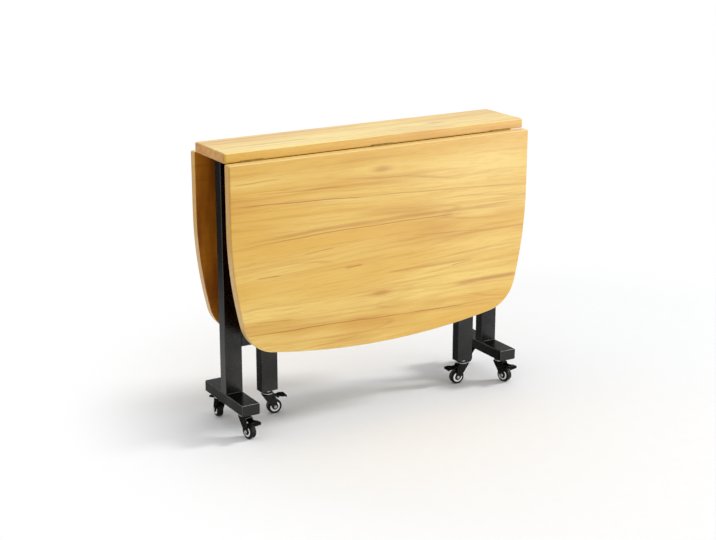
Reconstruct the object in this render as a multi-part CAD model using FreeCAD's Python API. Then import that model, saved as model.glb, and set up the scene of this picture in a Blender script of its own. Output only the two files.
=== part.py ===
import FreeCAD, Part
import math
import os

V = FreeCAD.Vector

# The table stands folded: X runs along the board, Y from front to back, Z up from the floor.
# All sizes are in millimetres, angles in degrees.

# Boards
table_height = 750.0
board_length = 900.0
centre_depth = 170.0
board_thickness = 25.0
board_edge_round = 3.5
board_joint_round = 1.0
board_corner_round = 7.0
leaf_upper_round = 4.0
leaf_drop = 525.0
leaf_straight_side = 158.0
leaf_side_radius = 1100.0
leaf_corner_radius = 100.0
leaf_bottom_radius = 2000.0
board_gap = 0.5

# Leaf hinges: the pin lies just below the centre board's edge, so a hanging leaf stands outside it
hinge_offset = 0.6
hinge_barrel_radius = 3.0
hinge_pin_radius = 1.3
hinge_recess_gap = 0.5
hinge_length = 64.0
hinge_plate_clearance = 7.0
hinge_plate_thickness = 2.0
hinge_plate_round = 3.0
hinge_inset = 75.0
knuckles = 3
knuckle_gap = 0.3

# Steel frame
tube_width = 50.0
tube_depth = 30.0
tube_wall = 1.5
tube_corner = 3.0
column_inset = 46.0
foot_length = 220.0
foot_cap_thickness = 2.0
foot_cap_plug = 12.0
foot_cap_clearance = 0.15
foot_cap_edge_round = 1.0
stretcher_bottom = 222.0
top_plate_thickness = 3.0
top_plate_length = 80.0
top_plate_depth = 104.0
top_plate_round = 8.0

# Gates
gate_pivot_place = 9.0
gate_leg_inset = 112.5
gate_offset = 35.0
gate_arm_height = 30.0
gate_end_plate = 3.0
gate_pad_height = 6.0
gate_pad_plug = 14.0
gate_pad_clearance = 1.0
pivot_tube_radius = 11.0
pivot_pin_radius = 6.0
pivot_pin_depth = 28.0
pivot_head_radius = 9.0
pivot_head_height = 3.0
lug_thickness = 5.0
lug_margin = 2.5
lug_inset = 5.0
lower_arm_above_lug = 8.0
upper_arm_below_lug = 6.0

# Casters
caster_height = 69.0
caster_inset = 37.0
wheel_radius = 20.0
wheel_width = 17.0
tread_round = 3.0
hub_dish_depth = 1.0
ring_inner_radius = 8.6
ring_outer_radius = 11.6
ring_depth = 1.2
ring_proud = 0.5
axle_radius = 3.0
axle_head_radius = 4.6
axle_head_height = 1.8
sleeve_radius = 5.0
caster_trail = 18.0
fork_gap = 1.0
fork_sheet = 2.0
fork_front = 16.0
fork_back = 17.0
fork_top = 57.0
fork_bend = 2.5
cheek_end_radius = 7.6
race_radius = 15.0
race_crown_radius = 12.0
race_gap = 0.3
cup_bottom = 60.0
cup_radius = 16.5
cup_rim = 2.0
cup_top_radius = 10.0
nut_width = 17.0
nut_height = 4.5
inner_nut_height = 6.0
stem_radius = 5.0
stem_above_nut = 3.0
stem_hole_clearance = 0.2
rivet_radius = 8.0
rivet_height = 2.5
pedal_pivot_back = 12.0
pedal_pivot_height = 48.0
pedal_pin_radius = 2.0
pedal_pin_head = 1.2
pedal_boss_radius = 3.6
pedal_sheet = 2.4
pedal_tip_back = 51.0
pedal_tip_drop = 3.0
pedal_lip = 5.0
pedal_pad_width = 31.0
pedal_pad_length = 14.0
pedal_flare_length = 8.0
pedal_corner = 4.0
pedal_rib_radius = 0.8
pedal_ribs = 3
shoe_back = 14.0
shoe_length = 6.0
shoe_width = 12.0
shoe_drop = 6.5

# Clearances of the running fits, and how far a cutter runs past what it cuts
running_clearance = 0.05
face_clearance = 0.3
overrun = 5.0
match_tolerance = 0.001

# Which way each caster trails, as an angle from +X
front_left_trail = -80.0
front_right_trail = -75.0
back_left_trail = 82.0
back_right_trail = 100.0
gate_trail = 175.0

# Places that follow from the sizes above
board_bottom = table_height - board_thickness
plate_bottom = board_bottom - top_plate_thickness
hinge_axis_y = centre_depth / 2
hinge_axis_z = board_bottom - hinge_offset
leaf_inner = hinge_axis_y + hinge_offset
leaf_top = hinge_axis_z - board_gap
leaf_bottom = leaf_top - leaf_drop
hinge_plate_width = centre_depth / 2 - top_plate_depth / 2 - hinge_plate_clearance
foot_top = caster_height + tube_depth
column_place = board_length / 2 - column_inset
column_inner = column_place - tube_width / 2
rail_bottom = plate_bottom - tube_width
lower_lug_bottom = stretcher_bottom + lug_inset
lower_lug_top = lower_lug_bottom + lug_thickness
upper_lug_top = plate_bottom - lug_inset
upper_lug_bottom = upper_lug_top - lug_thickness
gate_leg_place = gate_pivot_place + column_place - gate_leg_inset
gate_pad_top = board_bottom - gate_pad_clearance
gate_leg_top = gate_pad_top - gate_pad_height
fork_inner = wheel_width / 2 + fork_gap
fork_outer = fork_inner + fork_sheet
fork_under = fork_top - fork_sheet
hinge_places = (hinge_inset - board_length / 2, 0, board_length / 2 - hinge_inset)

ORIGIN = V(0, 0, 0)
X_AXIS = V(1, 0, 0)
Y_AXIS = V(0, 1, 0)
Z_AXIS = V(0, 0, 1)


def box(low, high):
    """A block between two opposite corners."""
    size = V(*high) - V(*low)
    return Part.makeBox(size.x, size.y, size.z, V(*low))


def edges_along(shape, direction):
    """The straight edges of a shape that run along a direction."""
    straight = [edge for edge in shape.Edges if isinstance(edge.Curve, Part.Line)]
    return [edge for edge in straight if edge.Curve.Direction.cross(direction).Length < match_tolerance]


def rounded_bar(low, high, along, corner):
    """A block whose four edges along one direction are rounded."""
    bar = box(low, high)
    return bar.makeFillet(corner, edges_along(bar, along))


def hollow_bar(low, high, along):
    """A rectangular tube with rounded corners, open at both ends."""
    wall = V(tube_wall, tube_wall, tube_wall)
    past = along * (tube_wall + overrun)
    inner_low = V(*low) + wall - past
    inner_high = V(*high) - wall + past
    bore = rounded_bar(tuple(inner_low), tuple(inner_high), along, tube_corner - tube_wall)
    return rounded_bar(low, high, along, tube_corner).cut(bore)


def upright(radius, bottom, top, x=0, y=0):
    """A round bar standing along Z."""
    return Part.makeCylinder(radius, top - bottom, V(x, y, bottom), Z_AXIS)


def crossways(radius, half_length, x, z):
    """A round bar along Y, centred on the plane Y = 0."""
    return Part.makeCylinder(radius, 2 * half_length, V(x, -half_length, z), Y_AXIS)


def lathe(points):
    """A solid of revolution about Z from an outline of (radius, height) points."""
    corners = [V(radius, 0, height) for radius, height in points]
    outline = Part.makePolygon(corners + corners[:1])
    return Part.Face(outline).revolve(ORIGIN, Z_AXIS, 360)


def round_edges(shape, radius):
    """The circular edges of a shape that have one radius."""
    circles = [edge for edge in shape.Edges if isinstance(edge.Curve, Part.Circle)]
    return [edge for edge in circles if abs(edge.Curve.Radius - radius) < match_tolerance]


def prism(points, along):
    """A straight prism on an outline of points, drawn along a vector."""
    outline = Part.makePolygon(points + points[:1])
    return Part.Face(outline).extrude(along)


def turned(shape, x=0):
    """A copy turned half round an upright axis in the middle of the table, from the front to the back."""
    copy = shape.copy()
    copy.rotate(V(x, 0, 0), Z_AXIS, 180)
    return copy


# Boards


def top_board():
    """The narrow centre board, with soft edges and slightly rounded corners."""
    low = (-board_length / 2, -centre_depth / 2, board_bottom)
    high = (board_length / 2, centre_depth / 2, table_height)
    board = rounded_bar(low, high, Z_AXIS, board_corner_round)
    board = board.makeFillet(board_edge_round, rim_at(board, Z_AXIS, table_height))
    board = board.makeFillet(board_joint_round, rim_at(board, Z_AXIS, board_bottom))
    front_recesses = hinge_recesses()
    return board.cut(front_recesses + [turned(recess) for recess in front_recesses])


def flat_at(face, direction, place):
    """Whether a face is flat, square to a direction and at a place along it."""
    if not isinstance(face.Surface, Part.Plane):
        return False
    square = face.Surface.Axis.cross(direction).Length < match_tolerance
    return square and abs(face.CenterOfMass.dot(direction) - place) < match_tolerance


def rim_at(shape, direction, place):
    """The edges round the flat face at a place along a direction."""
    return [edge for face in shape.Faces if flat_at(face, direction, place) for edge in face.Edges]


def leaf_outline(y):
    """Half-oval of a hanging leaf: straight at the top, bowed sides, round corners, shallow bottom."""
    half = board_length / 2
    bow_top = leaf_top - leaf_straight_side
    side_reach = leaf_side_radius - half
    bottom_reach = leaf_bottom_radius - (leaf_drop - leaf_straight_side)
    side_step = leaf_side_radius - leaf_corner_radius
    bottom_step = leaf_bottom_radius - leaf_corner_radius

    # The corner arc touches the side arc and the bottom arc: two equations for the two touching angles
    reach = math.hypot(side_reach, bottom_reach)
    balance = (bottom_step ** 2 - side_step ** 2 - reach ** 2) / (2 * side_step)
    side_angle = math.atan2(side_reach, bottom_reach) + math.asin(balance / reach)
    bottom_angle = math.atan2(
        side_step * math.cos(side_angle) - side_reach,
        side_step * math.sin(side_angle) + bottom_reach,
    )
    corner_x = bottom_step * math.sin(bottom_angle)
    corner_z = leaf_bottom + leaf_bottom_radius - bottom_step * math.cos(bottom_angle)

    def on_side(angle):
        across = leaf_side_radius * math.cos(angle)
        down = leaf_side_radius * math.sin(angle)
        return V(across - side_reach, y, bow_top - down)

    def on_corner(angle):
        across = leaf_corner_radius * math.sin(angle)
        down = leaf_corner_radius * math.cos(angle)
        return V(corner_x + across, y, corner_z - down)

    def left(point):
        return V(-point.x, point.y, point.z)

    corner_top_angle = math.pi / 2 - side_angle
    top = V(half, y, leaf_top)
    bow = V(half, y, bow_top)
    side_middle = on_side(side_angle / 2)
    side_end = on_side(side_angle)
    corner_middle = on_corner((corner_top_angle + bottom_angle) / 2)
    corner_end = on_corner(bottom_angle)
    bottom = V(0, y, leaf_bottom)
    right_edges = [
        Part.LineSegment(top, bow),
        Part.Arc(bow, side_middle, side_end),
        Part.Arc(side_end, corner_middle, corner_end),
    ]
    left_edges = [
        Part.Arc(left(corner_end), left(corner_middle), left(side_end)),
        Part.Arc(left(side_end), left(side_middle), left(bow)),
        Part.LineSegment(left(bow), left(top)),
    ]
    across_bottom = Part.Arc(corner_end, bottom, left(corner_end))
    across_top = Part.LineSegment(left(top), top)
    curves = right_edges + [across_bottom] + left_edges + [across_top]
    return Part.Wire([curve.toShape() for curve in curves])


def front_leaf():
    """The front leaf as it hangs, outside the centre board's edge."""
    slab = Part.Face(leaf_outline(-leaf_inner)).extrude(V(0, -board_thickness, 0))
    upper = leaf_top - match_tolerance
    upper_corners = [edge for edge in edges_along(slab, Y_AXIS) if edge.BoundBox.ZMax > upper]
    slab = slab.makeFillet(leaf_upper_round, upper_corners)
    slab = slab.makeFillet(board_edge_round, rim_at(slab, Y_AXIS, -leaf_inner - board_thickness))
    slab = slab.makeFillet(board_joint_round, rim_at(slab, Y_AXIS, -leaf_inner))
    return slab.cut(hinge_recesses())


# Leaf hinges


def along_board(radius, start, end, y, z):
    """A round bar along X."""
    return Part.makeCylinder(radius, end - start, V(start, y, z), X_AXIS)


def hinge_recesses():
    """The cutters that let the front hinges' barrels into the edges of the boards."""
    radius = hinge_barrel_radius + hinge_recess_gap
    reach = hinge_length / 2 + hinge_recess_gap
    spans = [(place - reach, place + reach) for place in hinge_places]
    return [along_board(radius, start, end, -hinge_axis_y, hinge_axis_z) for start, end in spans]


def knuckle_span(place, number):
    """The stretch of a hinge's barrel that one knuckle takes."""
    pitch = hinge_length / knuckles
    start = place - hinge_length / 2 + number * pitch
    return start + knuckle_gap / 2, start + pitch - knuckle_gap / 2


def hinge_half(place, numbers):
    """One plate of a butt hinge laid flat under the board, with the knuckles that it carries."""
    plate_top = board_bottom
    plate_under = plate_top - hinge_plate_thickness
    plate_start = hinge_barrel_radius + knuckle_gap - hinge_axis_y
    plate_low = (place - hinge_length / 2, plate_start, plate_under)
    plate_high = (place + hinge_length / 2, hinge_plate_width - hinge_axis_y, plate_top)
    plate = box(plate_low, plate_high)
    inward = plate_start + match_tolerance
    far_edges = [edge for edge in edges_along(plate, Z_AXIS) if edge.BoundBox.YMin > inward]
    half = plate.makeFillet(hinge_plate_round, far_edges)
    for number in numbers:
        start, end = knuckle_span(place, number)
        leaf_of_knuckle = box((start, -hinge_axis_y, plate_under), (end, plate_start, plate_top))
        barrel = along_board(hinge_barrel_radius, start, end, -hinge_axis_y, hinge_axis_z)
        half = half.fuse([leaf_of_knuckle, barrel])
    bore_radius = hinge_pin_radius + running_clearance
    start = place - hinge_length / 2 - overrun
    end = place + hinge_length / 2 + overrun
    bore = along_board(bore_radius, start, end, -hinge_axis_y, hinge_axis_z)
    return half.cut(bore).removeSplitter()


def folded_half(place, numbers):
    """The plate that is screwed to the leaf, hanging with it."""
    half = hinge_half(place, numbers).mirror(V(0, -hinge_axis_y, 0), Y_AXIS)
    half.rotate(V(0, -hinge_axis_y, hinge_axis_z), X_AXIS, 90)
    return half


def hinge_pin(place):
    """The pin through one hinge's knuckles."""
    start = place - hinge_length / 2
    end = place + hinge_length / 2
    return along_board(hinge_pin_radius, start, end, -hinge_axis_y, hinge_axis_z)


def top_hinge_plates():
    """The plates under the centre board, three at the front and three at the back."""
    outer_knuckles = range(0, knuckles, 2)
    front = [hinge_half(place, outer_knuckles) for place in hinge_places]
    return front + [turned(plate) for plate in front]


def leaf_hinge_plates():
    """The plates on the front leaf."""
    inner_knuckles = range(1, knuckles, 2)
    return [folded_half(place, inner_knuckles) for place in hinge_places]


def hinge_pins():
    """All the hinge pins, front and back."""
    front = [hinge_pin(place) for place in hinge_places]
    return front + [turned(pin) for pin in front]


# Steel frame


def right_column():
    """The upright tube at the right end."""
    low = (column_inner, -tube_depth / 2, foot_top)
    high = (column_inner + tube_width, tube_depth / 2, plate_bottom)
    return hollow_bar(low, high, Z_AXIS)


def right_foot():
    """The bar under the right column, with a hole at each end for a caster stem."""
    reach = foot_length / 2 - foot_cap_thickness
    low = (column_inner, -reach, caster_height)
    high = (column_inner + tube_width, reach, foot_top)
    foot = hollow_bar(low, high, Y_AXIS)
    for side in (-1, 1):
        place = side * (foot_length / 2 - caster_inset)
        foot = foot.cut(stem_hole(column_place, place, tube_wall))
    return foot


def stem_hole(x, y, wall):
    """The cutter for a caster stem's hole through the wall that the caster is fixed to."""
    radius = stem_radius + stem_hole_clearance
    return upright(radius, caster_height - overrun, caster_height + wall + overrun, x, y)


def foot_cap(x):
    """The plug in the front end of a foot: a flush flange with a hollow spigot inside the tube."""
    front = -foot_length / 2
    back = front + foot_cap_thickness
    left = x - tube_width / 2
    flange_high = (left + tube_width, back, foot_top)
    flange = rounded_bar((left, front, caster_height), flange_high, Y_AXIS, tube_corner)
    rim = [edge for edge in flange.Edges if edge.BoundBox.YMax < front + match_tolerance]
    flange = flange.makeFillet(foot_cap_edge_round, rim)
    fit = tube_wall + foot_cap_clearance
    spigot_low = (left + fit, back, caster_height + fit)
    spigot_high = (left + tube_width - fit, back + foot_cap_plug, foot_top - fit)
    spigot = rounded_bar(spigot_low, spigot_high, Y_AXIS, tube_corner - tube_wall)
    hollow = fit + foot_cap_thickness
    hollow_low = (left + hollow, back, caster_height + hollow)
    hollow_high = (left + tube_width - hollow, back + foot_cap_plug + overrun, foot_top - hollow)
    return flange.fuse(spigot).cut(box(hollow_low, hollow_high))


def foot_end_caps():
    """Four plugs, one in each end of both feet."""
    front = [foot_cap(-column_place), foot_cap(column_place)]
    return front + [turned(cap) for cap in front]


def stretcher():
    """The low bar between the columns, on edge."""
    low = (-column_inner, -tube_depth / 2, stretcher_bottom)
    high = (column_inner, tube_depth / 2, stretcher_bottom + tube_width)
    return hollow_bar(low, high, X_AXIS)


def upper_rail():
    """The bar under the centre board, between the tops of the columns."""
    low = (-column_inner, -tube_depth / 2, rail_bottom)
    high = (column_inner, tube_depth / 2, plate_bottom)
    return hollow_bar(low, high, X_AXIS)


def top_plates():
    """The plates on the columns that the centre board is screwed to."""
    low = (column_place - top_plate_length / 2, -top_plate_depth / 2, plate_bottom)
    high = (column_place + top_plate_length / 2, top_plate_depth / 2, board_bottom)
    right = rounded_bar(low, high, Z_AXIS, top_plate_round)
    return [right, turned(right)]


# Gates


def lug(bottom):
    """A flat lug on the front of the frame, with a round end and a hole for a pivot pin."""
    radius = pivot_tube_radius + lug_margin
    top = bottom + lug_thickness
    low = (gate_pivot_place - radius, -gate_offset, bottom)
    root = box(low, (gate_pivot_place + radius, -tube_depth / 2, top))
    eye = on_pivot(radius, bottom, top)
    hole = on_pivot(pivot_pin_radius + running_clearance, bottom - overrun, top + overrun)
    return root.fuse(eye).removeSplitter().cut(hole)


def on_pivot(radius, bottom, top):
    """A round bar on the front gate's pivot axis."""
    return upright(radius, bottom, top, gate_pivot_place, -gate_offset)


def gate_brackets():
    """Upper and lower lugs for both gates."""
    front = [lug(lower_lug_bottom), lug(upper_lug_bottom)]
    return front + [turned(one, gate_pivot_place) for one in front]


def gate_pivot_pins():
    """Headed pins through the lugs into both ends of each pivot tube."""
    lower_head = on_pivot(pivot_head_radius, lower_lug_bottom - pivot_head_height, lower_lug_bottom)
    lower_shank = on_pivot(pivot_pin_radius, lower_lug_bottom, lower_lug_top + pivot_pin_depth)
    upper_head = on_pivot(pivot_head_radius, upper_lug_top, upper_lug_top + pivot_head_height)
    upper_shank = on_pivot(pivot_pin_radius, upper_lug_bottom - pivot_pin_depth, upper_lug_top)
    front = [lower_head.fuse(lower_shank), upper_head.fuse(upper_shank)]
    return front + [turned(pin, gate_pivot_place) for pin in front]


def front_gate_leg():
    """The gate's upright tube, closed at the foot by a welded plate that takes the caster stem."""
    low = (gate_leg_place - tube_width / 2, -gate_offset - tube_depth / 2, caster_height)
    high = (gate_leg_place + tube_width / 2, -gate_offset + tube_depth / 2, gate_leg_top)
    tube = hollow_bar(low, high, Z_AXIS)
    plate_high = (high[0], high[1], caster_height + gate_end_plate)
    plate = rounded_bar(low, plate_high, Z_AXIS, tube_corner)
    hole = stem_hole(gate_leg_place, -gate_offset, gate_end_plate)
    return tube.fuse(plate).removeSplitter().cut(hole)


def gate_arm(bottom):
    """A tube from the pivot tube to the gate leg, coped round the pivot tube."""
    top = bottom + gate_arm_height
    shoulder = gate_pivot_place + pivot_tube_radius / 2
    low = (shoulder, -gate_offset - tube_depth / 2, bottom)
    high = (gate_leg_place - tube_width / 2, -gate_offset + tube_depth / 2, top)
    arm = hollow_bar(low, high, X_AXIS)
    return arm.cut(on_pivot(pivot_tube_radius, bottom - overrun, top + overrun))


def front_gate_lower_arm():
    """The arm beside the stretcher."""
    return gate_arm(lower_lug_top + lower_arm_above_lug)


def front_gate_upper_arm():
    """The arm beside the upper rail, low enough to pass under the hinges."""
    return gate_arm(upper_lug_bottom - upper_arm_below_lug - gate_arm_height)


def front_gate_pivot_tube():
    """The thick round tube that turns between the lugs."""
    bottom = lower_lug_top + face_clearance
    top = upper_lug_bottom - face_clearance
    bore = on_pivot(pivot_pin_radius + running_clearance, bottom - overrun, top + overrun)
    return on_pivot(pivot_tube_radius, bottom, top).cut(bore)


def front_gate_pad():
    """The cap on the gate leg that a raised leaf rests on, with a spigot inside the tube."""
    low = (gate_leg_place - tube_width / 2, -gate_offset - tube_depth / 2, gate_leg_top)
    high = (gate_leg_place + tube_width / 2, -gate_offset + tube_depth / 2, gate_pad_top)
    cap = rounded_bar(low, high, Z_AXIS, tube_corner)
    rim = [edge for edge in cap.Edges if edge.BoundBox.ZMin > gate_pad_top - match_tolerance]
    cap = cap.makeFillet(tube_wall, rim)
    fit = tube_wall + foot_cap_clearance
    spigot_low = (low[0] + fit, low[1] + fit, gate_leg_top - gate_pad_plug)
    spigot_high = (high[0] - fit, high[1] - fit, gate_leg_top)
    return cap.fuse(rounded_bar(spigot_low, spigot_high, Z_AXIS, tube_corner - tube_wall))


# Casters: drawn with the stem on Z, trailing along +X, and then turned and set in place


def hexagon(width, bottom, height):
    """A six-sided nut, as wide across its flats as the given width."""
    reach = width / math.sqrt(3)
    turns = [math.radians(60 * number) for number in range(6)]
    corners = [V(reach * math.cos(turn), reach * math.sin(turn), bottom) for turn in turns]
    return prism(corners, V(0, 0, height))


def caster_stem(wall):
    """Threaded stem with its rivet head, bearing cup and the nuts on both sides of a wall."""
    rivet_top = fork_under - race_gap
    rivet_bottom = rivet_top - rivet_height
    cup_top = caster_height - nut_height
    wall_top = caster_height + wall
    stem_top = wall_top + inner_nut_height + stem_above_nut
    body = lathe([
        (0, rivet_bottom),
        (rivet_radius, rivet_bottom),
        (rivet_radius, rivet_top),
        (stem_radius, rivet_top),
        (stem_radius, cup_bottom),
        (cup_radius, cup_bottom),
        (cup_radius, cup_bottom + cup_rim),
        (cup_top_radius, cup_top),
        (stem_radius, cup_top),
        (stem_radius, stem_top),
        (0, stem_top),
    ])
    lower_nut = hexagon(nut_width, cup_top, nut_height)
    upper_nut = hexagon(nut_width, wall_top, inner_nut_height)
    return body.fuse([lower_nut, upper_nut]).removeSplitter()


def tangent_angle(point_x, point_z, side):
    """Where a line from a corner of the cheek touches its round end, as an angle about the axle."""
    across = point_x - caster_trail
    up = point_z - wheel_radius
    spread = math.acos(cheek_end_radius / math.hypot(across, up))
    return math.atan2(up, across) + side * spread


def cheek_face(y):
    """Outline of a fork cheek: wide at the top, slanting back to a round end at the axle."""
    front_angle = tangent_angle(-fork_front, fork_top, 1)
    back_angle = tangent_angle(fork_back, fork_top, -1)

    def on_end(angle):
        across = cheek_end_radius * math.cos(angle)
        up = cheek_end_radius * math.sin(angle)
        return V(caster_trail + across, y, wheel_radius + up)

    front = V(-fork_front, y, fork_top)
    back = V(fork_back, y, fork_top)
    low_back = on_end(back_angle)
    low_front = on_end(front_angle)
    lowest = on_end((back_angle + front_angle) / 2 + math.pi)
    curves = [
        Part.LineSegment(front, back),
        Part.LineSegment(back, low_back),
        Part.Arc(low_back, lowest, low_front),
        Part.LineSegment(low_front, front),
    ]
    return Part.Face(Part.Wire([curve.toShape() for curve in curves]))


def caster_fork():
    """Pressed fork: a bridge with a raised race, and two slanting cheeks bored for the axle and pin."""
    block = cheek_face(-fork_outer).extrude(V(0, 2 * fork_outer, 0))
    upper = fork_top - match_tolerance
    bends = [edge for edge in edges_along(block, X_AXIS) if edge.BoundBox.ZMin > upper]
    block = block.makeFillet(fork_bend, bends)
    reach = fork_top + overrun
    fork = block.cut(box((-reach, -fork_inner, -reach), (reach, fork_inner, fork_under)))
    race_top = cup_bottom - race_gap
    race = lathe([
        (0, fork_under),
        (fork_inner, fork_under),
        (race_radius, fork_top),
        (race_crown_radius, race_top),
        (0, race_top),
    ])
    fork = fork.fuse(race)
    kingpin_bore = upright(stem_radius + running_clearance, fork_under - overrun, race_top + overrun)
    axle_bore = crossways(axle_radius + running_clearance, fork_outer + overrun, caster_trail, wheel_radius)
    pin_radius = pedal_pin_radius + running_clearance
    pin_bore = crossways(pin_radius, fork_outer + overrun, pedal_pivot_back, pedal_pivot_height)
    return fork.cut([kingpin_bore, axle_bore, pin_bore]).removeSplitter()


def rivet_bar(radius, head_radius, head_height):
    """A pin along Z with a domed head at each end, as long as the fork is wide."""
    outer = fork_outer + head_height
    crown = head_radius - head_height / 2
    return lathe([
        (0, -outer),
        (crown, -outer),
        (head_radius, -fork_outer - head_height / 2),
        (head_radius, -fork_outer),
        (radius, -fork_outer),
        (radius, fork_outer),
        (head_radius, fork_outer),
        (head_radius, fork_outer + head_height / 2),
        (crown, outer),
        (0, outer),
    ])


def on_cross_axis(shape, x, z):
    """A turned piece laid along Y at a place in the fork."""
    shape.rotate(ORIGIN, X_AXIS, 90)
    shape.translate(V(x, 0, z))
    return shape


def caster_pins():
    """The axle and the pedal's pin."""
    axle = rivet_bar(axle_radius, axle_head_radius, axle_head_height)
    pin_head_radius = pedal_pin_radius + pedal_pin_head
    pin = rivet_bar(pedal_pin_radius, pin_head_radius, pedal_pin_head)
    return [
        on_cross_axis(axle, caster_trail, wheel_radius),
        on_cross_axis(pin, pedal_pivot_back, pedal_pivot_height),
    ]


def caster_wheel():
    """Moulded wheel with a rounded tread, a seat for each ring and a dished centre."""
    side = wheel_width / 2
    seat = side - ring_depth
    dish = side - hub_dish_depth
    half = [
        (sleeve_radius, dish),
        (ring_inner_radius, dish),
        (ring_inner_radius, seat),
        (ring_outer_radius, seat),
        (ring_outer_radius, side),
        (wheel_radius, side),
    ]
    wheel = lathe(half + [(radius, -height) for radius, height in reversed(half)])
    wheel = wheel.makeFillet(tread_round, round_edges(wheel, wheel_radius))
    return on_cross_axis(wheel, caster_trail, wheel_radius)


def caster_rings():
    """The bright ring in each side of the wheel, and the sleeve that runs on the axle."""
    inner = wheel_width / 2 - ring_depth
    outer = wheel_width / 2 + ring_proud
    bevel = ring_proud
    ring = lathe([
        (ring_inner_radius, inner),
        (ring_outer_radius, inner),
        (ring_outer_radius, outer - bevel),
        (ring_outer_radius - bevel, outer),
        (ring_inner_radius + bevel, outer),
        (ring_inner_radius, outer - bevel),
    ])
    other = ring.mirror(ORIGIN, Z_AXIS)
    reach = fork_inner - face_clearance
    bore = axle_radius + running_clearance
    sleeve = lathe([(bore, -reach), (sleeve_radius, -reach), (sleeve_radius, reach), (bore, reach)])
    return [on_cross_axis(piece, caster_trail, wheel_radius) for piece in (ring, other, sleeve)]


def caster_pedal():
    """Brake pedal: a boss on its pin, a lever that flares to a ribbed pad, and the shoe above the tread."""
    lever_half = fork_inner - face_clearance
    pad_half = pedal_pad_width / 2
    lever_top = pedal_pivot_height + pedal_boss_radius
    tip_top = lever_top - pedal_tip_drop
    pad_start = pedal_tip_back - pedal_pad_length
    flare_start = pad_start - pedal_flare_length
    plan = [
        V(pedal_pivot_back, -lever_half, 0),
        V(flare_start, -lever_half, 0),
        V(pad_start, -pad_half, 0),
        V(pedal_tip_back, -pad_half, 0),
        V(pedal_tip_back, pad_half, 0),
        V(pad_start, pad_half, 0),
        V(flare_start, lever_half, 0),
        V(pedal_pivot_back, lever_half, 0),
    ]
    plan_prism = prism(plan, V(0, 0, fork_top))
    past_start = pad_start + match_tolerance
    tip_edges = [edge for edge in edges_along(plan_prism, Z_AXIS) if edge.BoundBox.XMin > past_start]
    plan_prism = plan_prism.makeFillet(pedal_corner, tip_edges)
    profile = [
        V(pedal_pivot_back, -pad_half, lever_top),
        V(pedal_pivot_back, -pad_half, lever_top - pedal_sheet),
        V(pedal_tip_back - pedal_sheet, -pad_half, tip_top - pedal_sheet),
        V(pedal_tip_back - pedal_sheet, -pad_half, tip_top - pedal_lip),
        V(pedal_tip_back, -pad_half, tip_top - pedal_lip),
        V(pedal_tip_back, -pad_half, tip_top),
    ]
    plate = prism(profile, V(0, pedal_pad_width, 0)).common(plan_prism)
    boss = crossways(pedal_boss_radius, lever_half, pedal_pivot_back, pedal_pivot_height)
    shoe_start = pedal_pivot_back + shoe_back
    shoe_high = lever_top - pedal_sheet
    shoe_low_corner = (shoe_start, -shoe_width / 2, shoe_high - shoe_drop)
    shoe = box(shoe_low_corner, (shoe_start + shoe_length, shoe_width / 2, shoe_high))
    ribs = [pedal_rib(number, lever_top, pad_half) for number in range(pedal_ribs)]
    bore = crossways(pedal_pin_radius + running_clearance, fork_outer, pedal_pivot_back, pedal_pivot_height)
    return plate.fuse([boss, shoe] + ribs).cut(bore).removeSplitter()


def pedal_rib(number, lever_top, pad_half):
    """One grip rib across the pedal's pad, following the pad's slope."""
    pitch = (pedal_pad_length - pedal_corner) / pedal_ribs
    back = pedal_tip_back - pedal_pad_length + pitch * (number + 1 / 2)
    slope = pedal_tip_drop / (pedal_tip_back - pedal_pivot_back)
    height = lever_top - slope * (back - pedal_pivot_back)
    return crossways(pedal_rib_radius, pad_half - pedal_corner, back, height)


def set_caster(shape, x, y, trail):
    """A caster piece turned to its trail and moved under its leg."""
    copy = shape.copy()
    copy.rotate(ORIGIN, Z_AXIS, trail)
    copy.translate(V(x, y, 0))
    return copy


def caster_places():
    """Where each caster stands and which way it trails; the back gate is the front one turned half round."""
    inset = foot_length / 2 - caster_inset
    back_gate_place = 2 * gate_pivot_place - gate_leg_place
    return {
        "front_left": (-column_place, -inset, front_left_trail),
        "front_right": (column_place, -inset, front_right_trail),
        "back_left": (-column_place, inset, back_left_trail),
        "back_right": (column_place, inset, back_right_trail),
        "front_gate": (gate_leg_place, -gate_offset, gate_trail),
        "back_gate": (back_gate_place, gate_offset, gate_trail + 180),
    }


def casters():
    """All the caster pieces below the stems, by node name."""
    pieces = {
        "fork": [caster_fork()],
        "pins": caster_pins(),
        "wheel": [caster_wheel()],
        "rings": caster_rings(),
        "pedal": [caster_pedal()],
    }
    nodes = {}
    for name, place in caster_places().items():
        for piece, shapes in pieces.items():
            nodes[name + "_caster_" + piece] = [set_caster(shape, *place) for shape in shapes]
    return nodes


def stems():
    """The caster stems: four in the feet, one in each gate leg."""
    places = caster_places()
    foot_stem = caster_stem(tube_wall)
    gate_stem = caster_stem(gate_end_plate)
    foot_names = ("front_left", "front_right", "back_left", "back_right")
    return {
        "foot_caster_stems": [set_caster(foot_stem, *places[name]) for name in foot_names],
        "front_gate_caster_stem": [set_caster(gate_stem, *places["front_gate"])],
        "back_gate_caster_stem": [set_caster(gate_stem, *places["back_gate"])],
    }


def gates():
    """Both gates: the back one is the front one turned half round."""
    front = {
        "leg": front_gate_leg(),
        "upper_arm": front_gate_upper_arm(),
        "lower_arm": front_gate_lower_arm(),
        "pivot_tube": front_gate_pivot_tube(),
        "pad": front_gate_pad(),
    }
    nodes = {}
    for piece, shape in front.items():
        nodes["front_gate_" + piece] = [shape]
        nodes["back_gate_" + piece] = [turned(shape, gate_pivot_place)]
    return nodes


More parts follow.
